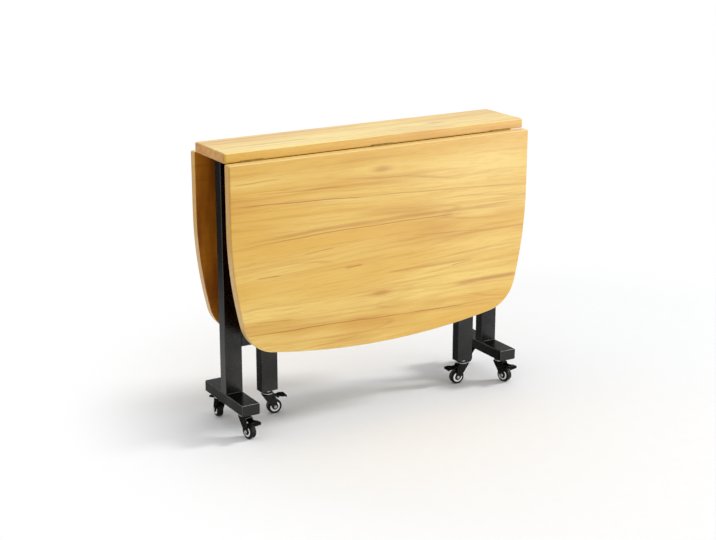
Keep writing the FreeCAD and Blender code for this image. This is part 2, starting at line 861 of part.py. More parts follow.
def table():
    """Every node of the table, with its solids."""
    column = right_column()
    foot = right_foot()
    leaf = front_leaf()
    leaf_plates = leaf_hinge_plates()
    nodes = {
        "top_board": [top_board()],
        "front_leaf": [leaf],
        "back_leaf": [turned(leaf)],
        "top_hinge_plates": top_hinge_plates(),
        "front_hinge_plates": leaf_plates,
        "back_hinge_plates": [turned(plate) for plate in leaf_plates],
        "hinge_pins": hinge_pins(),
        "right_column": [column],
        "left_column": [turned(column)],
        "right_foot": [foot],
        "left_foot": [turned(foot)],
        "foot_end_caps": foot_end_caps(),
        "stretcher": [stretcher()],
        "upper_rail": [upper_rail()],
        "top_plates": top_plates(),
        "gate_brackets": gate_brackets(),
        "gate_pivot_pins": gate_pivot_pins(),
    }
    nodes.update(gates())
    nodes.update(stems())
    nodes.update(casters())
    return nodes


os.makedirs("parts", exist_ok=True)
for node, solids in table().items():
    shape = solids[0] if len(solids) == 1 else Part.makeCompound(solids)
    shape.exportStep(os.path.join("parts", node + ".step"))
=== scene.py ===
import math

import bpy
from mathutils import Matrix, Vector

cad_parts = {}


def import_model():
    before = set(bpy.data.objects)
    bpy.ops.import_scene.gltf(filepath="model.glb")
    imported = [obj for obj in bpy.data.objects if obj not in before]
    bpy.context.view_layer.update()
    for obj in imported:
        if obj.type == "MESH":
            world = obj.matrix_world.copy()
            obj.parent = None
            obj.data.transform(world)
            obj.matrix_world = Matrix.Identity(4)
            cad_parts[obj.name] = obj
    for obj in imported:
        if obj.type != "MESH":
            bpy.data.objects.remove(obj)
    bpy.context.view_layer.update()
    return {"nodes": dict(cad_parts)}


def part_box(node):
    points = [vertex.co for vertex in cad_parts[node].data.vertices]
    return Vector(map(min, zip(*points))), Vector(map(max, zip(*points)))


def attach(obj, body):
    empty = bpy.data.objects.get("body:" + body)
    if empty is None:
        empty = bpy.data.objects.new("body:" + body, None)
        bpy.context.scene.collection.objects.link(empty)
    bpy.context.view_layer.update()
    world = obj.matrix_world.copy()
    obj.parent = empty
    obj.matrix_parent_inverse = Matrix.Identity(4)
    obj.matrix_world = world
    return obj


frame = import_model()

# Camera, fitted to the corners of the boards and the tubes in the photo
camera_place = (-1.9842, -3.2848, 1.5041)
camera_turn = -0.5386
camera_tilt = -0.288
camera_lens = 74.88
sensor_width = 36.0

# Wood: light, middle and deep honey of the leaves and of the top, painted paler as painted light from above,
# and the colours of their long, left and right edges
leaf_honey = ((0.81, 0.57, 0.142), (0.715, 0.416, 0.053), (0.55, 0.235, 0.004))
top_honey_lit = ((0.91, 0.69, 0.170), (0.81, 0.50, 0.060), (0.54, 0.19, 0.004))
# Edges darker for stain, with painted light and shade: the leaves' long edges painted pale as if lit from
# above, and the left and right edges toned apart as painted shade
leaf_edge_stain_and_light = ((0.90, 0.68, 0.26), (0.60, 0.31, 0.040), (0.46, 0.28, 0.090))
top_edge_stain_and_light = ((0.62, 0.31, 0.008), (0.62, 0.22, 0.002), (0.44, 0.25, 0.070))
# Rims where an edge turns into a face: a painted highlight on the long edges, a darker line on the side edges
painted_rim_highlight = (0.90, 0.69, 0.34)
rim_side = (0.60, 0.29, 0.030)
line_brown = (0.38, 0.12, 0.0)
knot_brown = (0.50, 0.185, 0.008)
# Inner faces of the leaves, painted darker as painted shade
underside_shade_brown = (0.58, 0.20, 0.006)
underside_shade_deep = (0.33, 0.085, 0.001)
end_grain_brown = (0.44, 0.14, 0.0)
top_end_share = 0.6
leaf_end_share = 0.12
lacquer_share = 0.48
lacquer_gloss = 0.36
skin = 0.0015
end_margin = 0.001
board_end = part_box("top_board")[1].x - end_margin
leaf_inner_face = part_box("back_leaf")[0].y

# Layers of the grain. A stretch says how often a layer changes along, across and through a board. A rise says
# where its marks start and end in the noise, and what they give there if that isn't 0 and 1
top_start = (0.37, 0.9, 0.0)
front_start = (0.0, 0.0, 0.0)
back_start = (1.9, 0.6, 0.0)
sway_stretch = (1.7, 6.0, 6.0)
sway_reach = 0.026
lean_slope = 0.036
lean_middle = 0.43
lean_period = 0.33
band_stretch = (0.9, 11.0, 11.0)
band_rise = (0.36, 0.60)
patch_stretch = (1.5, 4.5, 4.5)
patch_rise = (0.42, 0.62, 0.0, 0.70)
cloud_stretch = (2.4, 13.0, 13.0)
cloud_rise = (0.48, 0.70, 0.0, 0.52)
streak_stretch = (1.8, 105.0, 105.0)
streak_rise = (0.47, 0.72, 0.0, 0.48)
under_streak_rise = (0.45, 0.75, 0.0, 0.5)
fibre_stretch = (16.0, 560.0, 560.0)
fibre_rise = (0.48, 0.70, 0.0, 0.34)
fibre_gloss_rise = (0.3, 0.8, 0.34, 0.48)
fibre_dent = 0.10
fibre_depth = 0.0005
line_dent = 0.5
hill_stretch = (0.6, 9.0, 9.0)
rings_in_hill = 12.0
ring_rise = (0.0, 0.10, 0.30, 0.0)
break_stretch = (2.8, 26.0, 26.0)
break_rise = (0.46, 0.66)
pore_stretch = (40.0, 75.0, 75.0)
pore_rise = (0.38, 0.62)
stripe_stretch = (26.0, 5.0, 5.0)
stripe_rise = (0.35, 0.65)

# Edges of the boards: rises over how squarely a face looks through or across its board, or to the right
edge_rise = (0.15, 0.5, 0.65, 0.0)
long_edge_rise = (0.3, 0.7)
right_edge_rise = (0.2, 0.6)
rim_start_rise = (0.3, 0.6)
rim_end_rise = (0.9, 0.985, 0.6, 0.0)
long_rim_rise = (0.05, 0.25)

# Long marks of the grain: the place across the board at its middle, slope, arch, half width, strength, and
# where along the board the mark starts and ends. Knots are places along and across. Both follow the photo on
# the front leaf
leaf_lines = (
    (0.598, -0.048, 0.0, 0.0011, 0.75, -0.46, -0.02),
    (0.600, -0.052, 0.0, 0.0016, 0.42, -0.10, 0.46),
    (0.533, 0.0, -0.065, 0.0045, 0.34, -0.46, 0.46),
    (0.522, 0.0, -0.060, 0.0013, 0.60, -0.46, 0.30),
    (0.269, -0.032, 0.0, 0.0013, 0.70, -0.46, 0.34),
    (0.431, 0.010, 0.0, 0.0015, 0.60, -0.385, -0.31),
    (0.424, 0.040, 0.0, 0.0016, 0.60, -0.13, -0.07),
    (0.483, 0.040, 0.0, 0.0013, 0.45, -0.25, -0.15),
    (0.321, 0.005, 0.0, 0.0060, 0.42, 0.20, 0.45),
    (0.389, -0.010, 0.0, 0.0030, 0.32, -0.02, 0.31),
    (0.678, 0.009, 0.0, 0.0014, 0.45, -0.45, -0.30),
    (0.632, -0.026, 0.0, 0.0013, 0.38, -0.39, -0.12),
    (0.485, -0.070, 0.0, 0.0014, 0.32, 0.06, 0.34),
    (0.362, 0.077, 0.0, 0.0013, 0.45, 0.20, 0.28),
    (0.289, -0.062, 0.0, 0.0014, 0.36, -0.40, -0.27),
    (0.529, 0.007, 0.0, 0.0020, 0.32, 0.05, 0.44),
)
leaf_knots = ((-0.015, 0.668), (-0.017, 0.336))
back_lines = (
    (0.655, 0.030, 0.0, 0.0013, 0.60, -0.46, 0.16),
    (0.571, 0.022, 0.0, 0.0014, 0.55, -0.20, 0.46),
    (0.507, 0.0, 0.055, 0.0040, 0.34, -0.46, 0.46),
    (0.493, 0.0, 0.050, 0.0013, 0.45, -0.38, 0.22),
    (0.432, -0.024, 0.0, 0.0014, 0.45, 0.08, 0.44),
    (0.371, 0.018, 0.0, 0.0013, 0.60, -0.40, 0.10),
    (0.342, 0.020, 0.0, 0.0050, 0.36, -0.38, -0.08),
    (0.287, 0.040, 0.0, 0.0013, 0.65, -0.26, 0.36),
)
back_knots = ((0.19, 0.612), (-0.21, 0.398))
top_lines = (
    (-0.046, 0.010, 0.0, 0.0022, 0.40, -0.46, 0.20),
    (0.022, -0.014, 0.0, 0.0026, 0.34, -0.30, 0.46),
    (0.061, 0.006, 0.0, 0.0060, 0.36, -0.46, 0.05),
    (-0.020, 0.016, 0.0, 0.0060, 0.34, -0.46, -0.16),
    (0.034, 0.020, 0.0, 0.0040, 0.32, -0.46, -0.20),
)
top_knots = ((0.21, -0.012),)
knot_length = 0.034
knot_height = 0.009
knot_rise = (0.25, 1.0)
knot_share = 0.62
knot_push = 0.7
waver_stretch = 5.0
waver_reach = 0.010
faint_stretch = 9.0
faint_level = 0.3
faint_rise = (0.25, 0.55, 0.55, 1.15)
stroke_core = 0.3
stroke_reach = 1.6
fade_share = 0.2

# Coatings and metals: the darkest and palest of each, the colour of scuffed edges, which carries a painted
# highlight too, how they mirror, and how fine, glossy and dimpled their skin is
tube_black = (0.036, 0.036, 0.0365)
tube_grey = (0.052, 0.052, 0.051)
tube_scuff_and_highlight = (0.09, 0.09, 0.087)
tube_finish = {"Metallic": 1.0, "Specular_Tint": (0.56, 0.56, 0.56)}
tube_skin = {"speckle": 900.0, "gloss": (0.22, 0.32), "dent": 0.05}
weld_skin = {"speckle": 900.0, "gloss": (0.26, 0.36), "dent": 0.08}
caster_black = (0.018, 0.018, 0.018)
caster_grey = (0.030, 0.030, 0.030)
caster_finish = {"Metallic": 1.0, "Specular_Tint": (0.36, 0.36, 0.36)}
caster_skin = {"speckle": 900.0, "gloss": (0.22, 0.34), "dent": 0.05}
cap_black = (0.008, 0.008, 0.008)
cap_grey = (0.016, 0.016, 0.0155)
cap_scuff_and_highlight = (0.45, 0.45, 0.43)
cap_finish = {"Specular_IOR_Level": 0.30}
cap_skin = {"speckle": 1400.0, "gloss": (0.34, 0.48), "dent": 0.10}
rubber_black = (0.003, 0.003, 0.003)
rubber_grey = (0.009, 0.009, 0.0088)
rubber_finish = {"Specular_IOR_Level": 0.14}
rubber_skin = {"speckle": 700.0, "gloss": (0.34, 0.5), "dent": 0.12}
ring_white = (0.97, 0.97, 0.96)
ring_grey = (0.88, 0.88, 0.87)
ring_finish = {"Metallic": 1.0}
ring_skin = {"speckle": 500.0, "gloss": (0.18, 0.30), "dent": 0.02}
zinc_light = (0.55, 0.55, 0.53)
zinc_dark = (0.34, 0.34, 0.33)
zinc_brush = (500.0, 500.0, 900.0)
zinc_gloss = (0.22, 0.38)
axle_gloss = (0.18, 0.30)
axle_top = 0.034
bronze_light = (0.31, 0.185, 0.048)
bronze_dark = (0.19, 0.105, 0.024)
bronze_brush = (40.0, 900.0, 900.0)
bronze_gloss = (0.40, 0.55)
blackened = (0.014, 0.012, 0.010)

# Marks of the coatings and metals
blotch_scale = 14.0
blotch_rise = (0.3, 0.75)
speck_rise = (0.62, 0.8, 0.0, 0.5)
scuff_scale = 60.0
scuff_rise = (0.25, 0.6, 0.35, 1.0)
corner_rise = (0.86, 0.99, 1.0, 0.0)
upper_rise = (-0.3, 0.5)
polish_scale = 45.0
polish_rise = (0.3, 0.7)
dimple_depth = 0.0004
stain_scale = 90.0
stain_rise = (0.4, 0.8)
brush_dent = 0.08
brush_depth = 0.0002

# Painted light and shade on the side faces of the tubes, and the bright band on the wheels
inner_side_shade = (0.016, 0.016, 0.016)
outer_side_reflection_low = (0.098, 0.098, 0.096)
outer_side_shade_high = (0.006, 0.006, 0.006)
outer_margin = 0.009
outer_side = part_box("right_column")[1].x - outer_margin
foot_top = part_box("right_foot")[1].z
side_shade_start = 0.15
side_shade_end = 0.50
side_rise = (0.6, 0.95)
band_inner = 0.0138
band_outer = 0.0160
band_soft = 0.0002

# Screw heads, with the cross in shares of the head, and weld beads
hinge_screw_radius = 0.0040
hinge_screw_height = 0.0012
hinge_screw_reach = 0.020
hinge_plate_thickness = 0.002
leaf_screw_inset = 0.012
board_screw_offset = 0.019
plate_screw_radius = 0.0055
plate_screw_height = 0.0018
plate_screw_inset = 0.010
hinge_half_length = 0.032
last_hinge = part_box("hinge_pins")[1].x - hinge_half_length
hinge_places = (-last_hinge, 0.0, last_hinge)
head_sides = 32
head_rings = 8
cross_reach = 0.62
cross_half_width = 0.17
cross_depth = 0.6
dome_power = 5
bead_radius = 0.0032
bead_pitch = 0.0030
bead_ripple = 0.16
bead_steps = 6
bead_arc = 5
bead_margin = 0.003
bead_tip = 0.05
largest_smooth_face = 4

# Floor and light
floor_size = 60.0
floor_white = (0.868, 0.874, 0.880)
floor_roughness = 0.9
mottle_scale = 30.0
mottle_rise = (0.3, 0.7, 0.0, 0.06)
plain_white = (1.0, 1.0, 1.0)
floor_near = 0.85
floor_far = 1.30
floor_centre = (0.45, -0.10, 0.0)
horizon_strength = 0.34
zenith_strength = 0.95
sun_from = (0.75, -0.20, 0.46)
sun_power = 1.9
sun_spread = 12.0
key_place = (2.5, -2.7, 0.43)
key_aim = (0.25, 0.0, 0.43)
key_width = 1.8
key_height = 0.62
key_power = 29.0


class Graph:
    """The nodes of a material or a world, with short calls for the kinds used here."""

    def __init__(self, owner):
        owner.use_nodes = True
        self.owner = owner
        self.nodes = owner.node_tree.nodes
        self.links = owner.node_tree.links

    def put(self, socket, value):
        """Links a socket to another, or sets its constant."""
        if isinstance(value, bpy.types.NodeSocket):
            self.links.new(value, socket)
        elif isinstance(value, tuple) and socket.type == "RGBA":
            socket.default_value = (*value, 1.0)
        else:
            socket.default_value = value

    def add(self, kind, inputs, **settings):
        node = self.nodes.new(kind)
        for name, value in settings.items():
            setattr(node, name, value)
        for name, value in inputs.items():
            self.put(node.inputs[name], value)
        return node

    def place(self):
        return self.add("ShaderNodeTexCoord", {}).outputs["Object"]

    def normal(self):
        """The way a face looks, on the axes of its own piece."""
        return self.parts(self.add("ShaderNodeTexCoord", {}).outputs["Normal"])

    def facing(self, axis):
        """How squarely a face looks along an axis of its own piece, either way."""
        return self.math("ABSOLUTE", self.normal()[axis])

    def edges(self):
        """1 on the upper rounded edges of a piece whose faces look along its axes, less on upright edges, so
        that the painted highlight of scuffed edges sits mostly on edges that face up.
        """
        side = self.math("MAXIMUM", self.facing("X"), self.facing("Y"))
        round_part = self.rise(self.math("MAXIMUM", side, self.facing("Z")), *corner_rise)
        return self.math("MULTIPLY", round_part, self.rise(self.normal()["Z"], *upper_rise))

    def stretch(self, place, scale):
        node = self.add("ShaderNodeVectorMath", {0: place, 1: scale}, operation="MULTIPLY")
        return node.outputs["Vector"]

    def shift(self, place, step):
        node = self.add("ShaderNodeVectorMath", {0: place, 1: step}, operation="ADD")
        return node.outputs["Vector"]

    def parts(self, place):
        return self.add("ShaderNodeSeparateXYZ", {"Vector": place}).outputs

    def vector(self, x, y, z):
        return self.add("ShaderNodeCombineXYZ", {"X": x, "Y": y, "Z": z}).outputs["Vector"]

    def math(self, operation, first, second=0.0):
        return self.add("ShaderNodeMath", {0: first, 1: second}, operation=operation).outputs["Value"]

    def noise(self, place, scale, detail=2.0, roughness=0.5):
        inputs = {"Vector": place, "Scale": scale, "Detail": detail, "Roughness": roughness}
        return self.add("ShaderNodeTexNoise", inputs).outputs["Fac"]

    def layer(self, place, stretch, detail=2.0, roughness=0.5):
        """Noise that is stretched differently along each axis."""
        return self.noise(self.stretch(place, stretch), 1.0, detail, roughness)

    def rise(self, value, start, end, low=0.0, high=1.0):
        inputs = {"Value": value, "From Min": start, "From Max": end, "To Min": low, "To Max": high}
        return self.add("ShaderNodeMapRange", inputs, interpolation_type="SMOOTHSTEP").outputs["Result"]

    def blend(self, factor, first, second):
        node = self.add("ShaderNodeMix", {"Factor": factor}, data_type="RGBA")
        colours = [socket for socket in node.inputs if socket.type == "RGBA"]
        self.put(colours[0], first)
        self.put(colours[1], second)
        return [socket for socket in node.outputs if socket.type == "RGBA"][0]

    def bump(self, height, strength, distance):
        inputs = {"Height": height, "Strength": strength, "Distance": distance}
        return self.add("ShaderNodeBump", inputs).outputs["Normal"]

    def seen(self):
        """1 on rays that the camera sees straight, mirrored or through something clear."""
        paths = self.add("ShaderNodeLightPath", {}).outputs
        mirrored = self.math("MAXIMUM", paths["Is Glossy Ray"], paths["Is Transmission Ray"])
        return self.math("MAXIMUM", paths["Is Camera Ray"], mirrored)

    def shade(self, **values):
        """Sets the shader's sockets by name, and gives back the material."""
        for name, value in values.items():
            self.put(self.nodes["Principled BSDF"].inputs[name.replace("_", " ")], value)
        return self.owner


def painted(name):
    """The nodes of a new material."""
    return Graph(bpy.data.materials.new(name))


def board_place(graph, across, depth):
    """The place on a board as along, across and through it."""
    raw = graph.parts(graph.place())
    return graph.vector(raw["X"], raw[across], raw[depth])


def drawn_lines(graph, place, lines):
    """The long marks of the grain, each a thin wavering stroke, fainter in places."""
    along = place["X"]
    across = place["Y"]
    waver = graph.noise(graph.vector(graph.math("MULTIPLY", along, waver_stretch), across, 0.0), 1.0)
    waver = graph.math("MULTIPLY", graph.math("SUBTRACT", waver, 0.5), waver_reach)
    faint = graph.noise(graph.vector(graph.math("MULTIPLY", along, faint_stretch), across, faint_level), 1.0)
    square = graph.math("MULTIPLY", along, along)
    mark = 0.0
    for height, slope, arch, half_width, strength, start, end in lines:
        course = graph.math("ADD", graph.math("MULTIPLY", along, slope), graph.math("MULTIPLY", square, arch))
        course = graph.math("ADD", graph.math("ADD", course, waver), height)
        away = graph.math("ABSOLUTE", graph.math("SUBTRACT", across, course))
        stroke = graph.rise(away, half_width * stroke_core, half_width * stroke_reach, strength, 0.0)
        fade = (end - start) * fade_share
        starting = graph.rise(along, start, start + fade)
        ending = graph.rise(along, end - fade, end, 1.0, 0.0)
        stroke = graph.math("MULTIPLY", stroke, graph.math("MULTIPLY", starting, ending))
        mark = graph.math("MAXIMUM", mark, stroke)
    return graph.math("MULTIPLY", mark, graph.rise(faint, *faint_rise))


def knot_marks(graph, place, knots):
    """Soft brown knots, and how far each pushes the grain round it aside."""
    mark = 0.0
    push = 0.0
    for knot_along, knot_across in knots:
        along = graph.math("DIVIDE", graph.math("SUBTRACT", place["X"], knot_along), knot_length)
        off = graph.math("SUBTRACT", place["Y"], knot_across)
        across = graph.math("DIVIDE", off, knot_height)
        squares = graph.math("MULTIPLY", along, along)
        squares = graph.math("ADD", squares, graph.math("MULTIPLY", across, across))
        near = graph.math("DIVIDE", 1.0, graph.math("ADD", 1.0, squares))
        mark = graph.math("MAXIMUM", mark, graph.rise(near, *knot_rise))
        aside = graph.math("MULTIPLY", graph.math("MULTIPLY", off, near), knot_push)
        push = graph.math("SUBTRACT", push, aside)
    return mark, push


def bent_grain(graph, own, parts, push):
    """The place in the grain, which sways, leans one way and the other over a board, and goes round knots."""
    sway = graph.layer(own, sway_stretch)
    sway = graph.math("MULTIPLY", graph.math("SUBTRACT", sway, 0.5), sway_reach)
    off_middle = graph.math("SUBTRACT", parts["Y"], lean_middle)
    turned = graph.math("MULTIPLY", off_middle, 2 * math.pi / lean_period)
    lean = graph.math("MULTIPLY", graph.math("COSINE", turned), -lean_slope)
    fan = graph.math("MULTIPLY", lean, parts["X"])
    bend = graph.math("ADD", fan, graph.math("ADD", sway, push))
    return graph.shift(own, graph.vector(0.0, bend, sway))


def honey_layers(graph, grain, honey):
    """The wood's colour, from slow bands to fine fibres, with the streaks and fibres for use elsewhere."""
    light, middle, deep = honey
    bands = graph.layer(grain, band_stretch, detail=3.0)
    patches = graph.layer(grain, patch_stretch, detail=1.0)
    clouds = graph.layer(grain, cloud_stretch)
    streaks = graph.layer(grain, streak_stretch, detail=4.0, roughness=0.62)
    fibres = graph.layer(grain, fibre_stretch, detail=3.0, roughness=0.6)
    colour = graph.blend(graph.rise(bands, *band_rise), middle, light)
    colour = graph.blend(graph.rise(patches, *patch_rise), colour, middle)
    colour = graph.blend(graph.rise(clouds, *cloud_rise), colour, deep)
    colour = graph.blend(graph.rise(streaks, *streak_rise), colour, deep)
    colour = graph.blend(graph.rise(fibres, *fibre_rise), colour, deep)
    return colour, streaks, fibres


def year_rings(graph, grain):
    """Thin broken lines, as on a map of slow hills in the grain."""
    hills = graph.layer(grain, hill_stretch, detail=1.0)
    level = graph.math("FRACT", graph.math("MULTIPLY", hills, rings_in_hill))
    ring = graph.rise(graph.math("ABSOLUTE", graph.math("SUBTRACT", level, 0.5)), *ring_rise)
    return graph.math("MULTIPLY", ring, graph.rise(graph.layer(grain, break_stretch), *break_rise))


def edged(graph, colour, edges, end_pores, across, depth):
    """A board's colour with toned edges, which carry stain and painted light and shade, pores in its ends,
    and a rim where an edge turns into a face, painted as a highlight on the long edges.
    """
    long_edge, left_edge, right_edge = edges
    square = graph.facing(depth)
    # Left and right edges toned apart as painted shade.
    side_edge = graph.blend(graph.rise(graph.normal()["X"], *right_edge_rise), left_edge, right_edge)
    edge = graph.blend(graph.rise(graph.facing(across), *long_edge_rise), side_edge, long_edge)
    colour = graph.blend(graph.rise(square, *edge_rise), colour, edge)
    colour = graph.blend(end_pores, colour, end_grain_brown)
    # Painted highlight on the long rims, a darker line on the side rims.
    rim = graph.math("MULTIPLY", graph.rise(square, *rim_start_rise), graph.rise(square, *rim_end_rise))
    rim_tone = graph.blend(graph.rise(graph.facing(across), *long_rim_rise), rim_side, painted_rim_highlight)
    return graph.blend(rim, colour, rim_tone)


def shaded_underside_wood(graph, own, streaks):
    """The wood inside a leaf, painted darker as painted shade, with stripes across its grain."""
    stripes = graph.layer(own, stripe_stretch, detail=3.0)
    under = graph.blend(graph.rise(stripes, *stripe_rise), underside_shade_brown, underside_shade_deep)
    return graph.blend(graph.rise(streaks, *under_streak_rise), under, underside_shade_deep)


def wood(name, honey, edges, end_share, across, depth, start, lines, knots, underside=None):
    """Lacquered honey wood with its grain along X. The underside, if any, is a place on the depth axis, where
    the inner face is painted darker as painted shade.
    """
    graph = painted(name)
    board = board_place(graph, across, depth)
    parts = graph.parts(board)
    own = graph.shift(board, start)
    knot, push = knot_marks(graph, parts, knots)
    grain = bent_grain(graph, own, parts, push)
    colour, streaks, fibres = honey_layers(graph, grain, honey)
    colour = graph.blend(year_rings(graph, grain), colour, line_brown)
    colour = graph.blend(graph.math("MULTIPLY", knot, knot_share), colour, knot_brown)
    drawn = drawn_lines(graph, parts, lines)
    colour = graph.blend(drawn, colour, line_brown)
    at_end = graph.rise(graph.math("ABSOLUTE", parts["X"]), board_end - skin, board_end)
    pores = graph.rise(graph.layer(own, pore_stretch, detail=4.0, roughness=0.7), *pore_rise, 0.0, end_share)
    colour = edged(graph, colour, edges, graph.math("MULTIPLY", at_end, pores), across, depth)
    # The inner face of a leaf gets painted shade.
    if underside is not None:
        inside = graph.math("ABSOLUTE", graph.math("SUBTRACT", parts["Z"], underside))
        under = shaded_underside_wood(graph, own, streaks)
        colour = graph.blend(graph.rise(inside, skin / 2, skin, 1.0, 0.0), colour, under)
    gloss = graph.rise(fibres, *fibre_gloss_rise)
    height = graph.math("SUBTRACT", fibres, graph.math("MULTIPLY", drawn, line_dent))
    lacquer = graph.math("MULTIPLY", graph.math("SUBTRACT", 1.0, at_end), lacquer_share)
    return graph.shade(Base_Color=colour, Roughness=gloss, Coat_Weight=lacquer,
                       Coat_Roughness=lacquer_gloss, Normal=graph.bump(height, fibre_dent, fibre_depth))


def tube_side_shading(graph, place, colour):
    """Painted light and shade on the side faces of the tubes: painted shade between the legs, and on the
    outside a painted reflection low down and painted shade high up.
    """
    spot = graph.parts(place)
    fade = graph.rise(spot["Z"], side_shade_start, side_shade_end)
    outside = graph.blend(fade, outer_side_reflection_low, outer_side_shade_high)
    outside = graph.blend(graph.rise(spot["Z"], foot_top, foot_top + skin), colour, outside)
    outer = graph.math("GREATER_THAN", graph.math("ABSOLUTE", spot["X"]), outer_side)
    side = graph.blend(outer, inner_side_shade, outside)
    return graph.blend(graph.rise(graph.facing("X"), *side_rise), colour, side)


def coated(name, dark, pale, finish, speckle, gloss, dent, scuff_and_highlight=None, side_shading=None):
    """A coating with slow blotches, fine speckle and a dimpled skin. Side faces may be given painted light
    and shade by a function, and edges scuffed to a colour that carries a painted highlight."""
    graph = painted(name)
    place = graph.place()
    speck = graph.noise(place, speckle, detail=3.0, roughness=0.6)
    blotch = graph.noise(place, blotch_scale, detail=3.0)
    colour = graph.blend(graph.rise(blotch, *blotch_rise), dark, pale)
    colour = graph.blend(graph.rise(speck, *speck_rise), colour, pale)
    # Painted light and shade on side faces, if a function for it is given.
    if side_shading is not None:
        colour = side_shading(graph, place, colour)
    # Scuffed edges with a painted highlight, mostly on edges that face up.
    if scuff_and_highlight is not None:
        worn = graph.rise(graph.noise(place, scuff_scale, detail=3.0), *scuff_rise)
        colour = graph.blend(graph.math("MULTIPLY", graph.edges(), worn), colour, scuff_and_highlight)
    polish = graph.rise(graph.noise(place, polish_scale, detail=4.0), *polish_rise, *gloss)
    bumps = graph.bump(speck, dent, dimple_depth)
    return graph.shade(Base_Color=colour, Roughness=polish, Normal=bumps, **finish)


def tyre(name, centre):
    """Black rubber with a bright band round the hub; distances are from the middle of the wheel."""
    graph = Graph(coated(name, rubber_black, rubber_grey, rubber_finish, **rubber_skin))
    spread = {0: graph.place(), 1: tuple(centre)}
    away = graph.add("ShaderNodeVectorMath", spread, operation="DISTANCE").outputs["Value"]
    band = graph.math("MULTIPLY", graph.rise(away, band_inner, band_inner + band_soft),
                      graph.rise(away, band_outer, band_outer + band_soft, 1.0, 0.0))
    rubber = graph.nodes["Principled BSDF"].inputs["Base Color"].links[0].from_socket
    return graph.shade(Base_Color=graph.blend(band, rubber, ring_white), Metallic=band)


def metal(name, pale, dark, brush, gloss, dark_above=None):
    """Metal with brushed lines on one axis and uneven polish, blackened above a height if one is given."""
    graph = painted(name)
    place = graph.place()
    lines = graph.layer(place, brush, detail=3.0, roughness=0.6)
    stain = graph.noise(place, stain_scale, detail=3.0)
    colour = graph.blend(graph.rise(stain, *stain_rise), pale, dark)
    if dark_above is not None:
        above = graph.math("GREATER_THAN", graph.parts(place)["Z"], dark_above)
        colour = graph.blend(above, colour, blackened)
    polish = graph.rise(lines, *polish_rise, *gloss)
    bumps = graph.bump(lines, brush_dent, brush_depth)
    return graph.shade(Base_Color=colour, Metallic=1.0, Roughness=polish, Normal=bumps)


def board_woods():
    """The wood of each board."""
    leaf = (leaf_honey, leaf_edge_stain_and_light, leaf_end_share, "Z", "Y")
    return {
        "top_board": wood("top_wood", top_honey_lit, top_edge_stain_and_light, top_end_share, "Y", "Z",
                          top_start, top_lines, top_knots),
        "front_leaf": wood("front_leaf_wood", *leaf, front_start, leaf_lines, leaf_knots, -leaf_inner_face),
        "back_leaf": wood("back_leaf_wood", *leaf, back_start, back_lines, back_knots, leaf_inner_face),
    }


def dress():
    """Puts a material on the slot of each piece of the frame."""
    slots = {
        "black_steel": coated("tube_coat", tube_black, tube_grey, tube_finish, **tube_skin,
                              scuff_and_highlight=tube_scuff_and_highlight, side_shading=tube_side_shading),
        "black_plastic": coated("cap_plastic", cap_black, cap_grey, cap_finish, **cap_skin, scuff_and_highlight=cap_scuff_and_highlight),
        "bright_ring": coated("ring_enamel", ring_white, ring_grey, ring_finish, **ring_skin),
        "zinc": metal("zinc_plate", zinc_light, zinc_dark, zinc_brush, zinc_gloss),
        "hinge_steel": metal("hinge_bronze", bronze_light, bronze_dark, bronze_brush, bronze_gloss),
    }
    fork = coated("caster_coat", caster_black, caster_grey, caster_finish, **caster_skin)
    pins = metal("axle_zinc", zinc_light, zinc_dark, zinc_brush, axle_gloss, axle_top)
    endings = {"caster_fork": fork, "caster_pedal": fork, "caster_pins": pins}
    boards = board_woods()
    for name, node in frame["nodes"].items():
        for holder in node.material_slots:
            slot_name = holder.material.name.split(".")[0]
            ending = "_".join(name.split("_")[-2:])
            if ending == "caster_wheel":
                low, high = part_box(name)
                holder.material = tyre(name + "_rubber", (low + high) / 2)
            else:
                holder.material = boards.get(name) or endings.get(ending) or slots[slot_name]
    slots["weld"] = coated("weld_coat", tube_black, tube_grey, tube_finish, **weld_skin)
    return slots


def screw_head(radius, height, place, out):
    """Points and faces of a domed screw head with a cross cut in it, on a surface that looks along out."""
    side = out.orthogonal().normalized()
    other = out.cross(side)
    points = [place + out * height * (1 - cross_depth)]
    for ring in range(1, head_rings + 1):
        for step in range(head_sides):
            angle = 2 * math.pi * step / head_sides
            x = ring / head_rings * math.cos(angle)
            y = ring / head_rings * math.sin(angle)
            low, high = sorted((abs(x), abs(y)))
            dome = math.sqrt(1 - (ring / head_rings) ** dome_power)
            if low < cross_half_width and high < cross_reach:
                dome -= cross_depth
            points.append(place + (side * x + other * y) * radius + out * height * dome)
    faces = [(0, 1 + step, 1 + (step + 1) % head_sides) for step in range(head_sides)]
    for ring in range(head_rings - 1):
        inner = 1 + ring * head_sides
        outer = inner + head_sides
        for step in range(head_sides):
            after = (step + 1) % head_sides
            faces.append((inner + step, outer + step, outer + after, inner + after))
    rim = 1 + (head_rings - 1) * head_sides
    faces.append(tuple(range(rim + head_sides - 1, rim - 1, -1)))
    return points, faces


